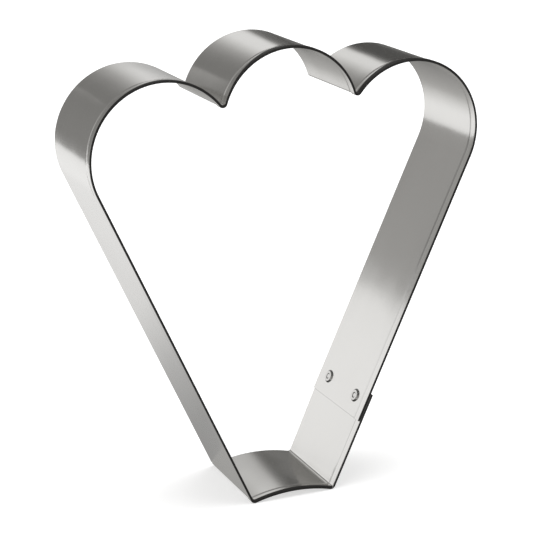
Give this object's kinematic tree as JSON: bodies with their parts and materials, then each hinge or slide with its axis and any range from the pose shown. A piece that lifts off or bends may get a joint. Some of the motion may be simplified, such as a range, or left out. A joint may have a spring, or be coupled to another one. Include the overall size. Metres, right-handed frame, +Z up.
{
  "type": "cookie cutter",
  "caption": "Tall lobed cookie cutter with tapering sides, bent from a hemmed tin-plated steel strip and closed by a riveted lap; cuts shaped cookies from rolled dough.",
  "frame": {"origin": "on the ground under the middle of the cutter's box, as it stands on its foot", "axes": "+X across the outline towards the riveted lap, +Y through the cutter from the folded hem to the cutting edge, +Z up from the foot to the lobes"},
  "size_m": [0.0954, 0.0254, 0.108],
  "materials": {
    "tinplate": "satin rolled tin plate",
    "rivet_steel": "satin tin-plated"
  },
  "bodies": {
    "root": {"cutter_band": "tinplate", "hem_side_rivet": "rivet_steel", "edge_side_rivet": "rivet_steel"}
  },
  "joints": []
}
